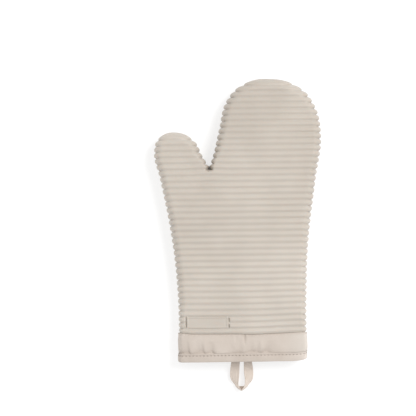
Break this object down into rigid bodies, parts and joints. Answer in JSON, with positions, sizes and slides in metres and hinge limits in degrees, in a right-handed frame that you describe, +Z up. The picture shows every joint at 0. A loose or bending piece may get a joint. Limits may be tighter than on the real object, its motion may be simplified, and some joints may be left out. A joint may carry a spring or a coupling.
{
  "type": "oven mitt",
  "caption": "Ribbed silicone oven mitt with a thumb, a quilted fabric liner, a sewn twill cuff with a bound hem, a blank name plaque and a twisted tape hanging loop.",
  "frame": {"origin": "bottom centre of the mitt's box, on the surface it lies on, the loop included", "axes": "+Y from the cuff to the fingertips, +X away from the thumb, +Z up out of the surface that the mitt's back lies on"},
  "size_m": [0.1952, 0.3632, 0.0364],
  "materials": {
    "silicone": "matte moulded silicone with round ribs",
    "padding": "needled fibre wadding",
    "lining": "plain woven cotton, quilted",
    "cuff_twill": "matte cotton twill",
    "binding_twill": "folded cotton twill binding",
    "thread": "spun sewing thread",
    "loop_tape": "woven cotton tape"
  },
  "bodies": {
    "mitt": {"silicone_front": "silicone", "silicone_back": "silicone", "padding_front": "padding", "padding_back": "padding", "lining_front": "lining", "lining_back": "lining", "cuff_band_front": "cuff_twill", "cuff_band_back": "cuff_twill", "hem_binding": "binding_twill", "band_thread": "thread", "hem_thread": "thread", "bar_tack": "thread", "loop_end_left": "loop_tape", "loop_end_right": "loop_tape"},
    "loop": {"hang_loop": "loop_tape"}
  },
  "joints": [
    {"name": "loop_swing", "type": "hinge", "parent": "mitt", "child": "loop", "pos_m": [0.0002, -0.149, 0.009], "axis": [-1, 0, 0], "range_deg": [0, 80]}
  ]
}
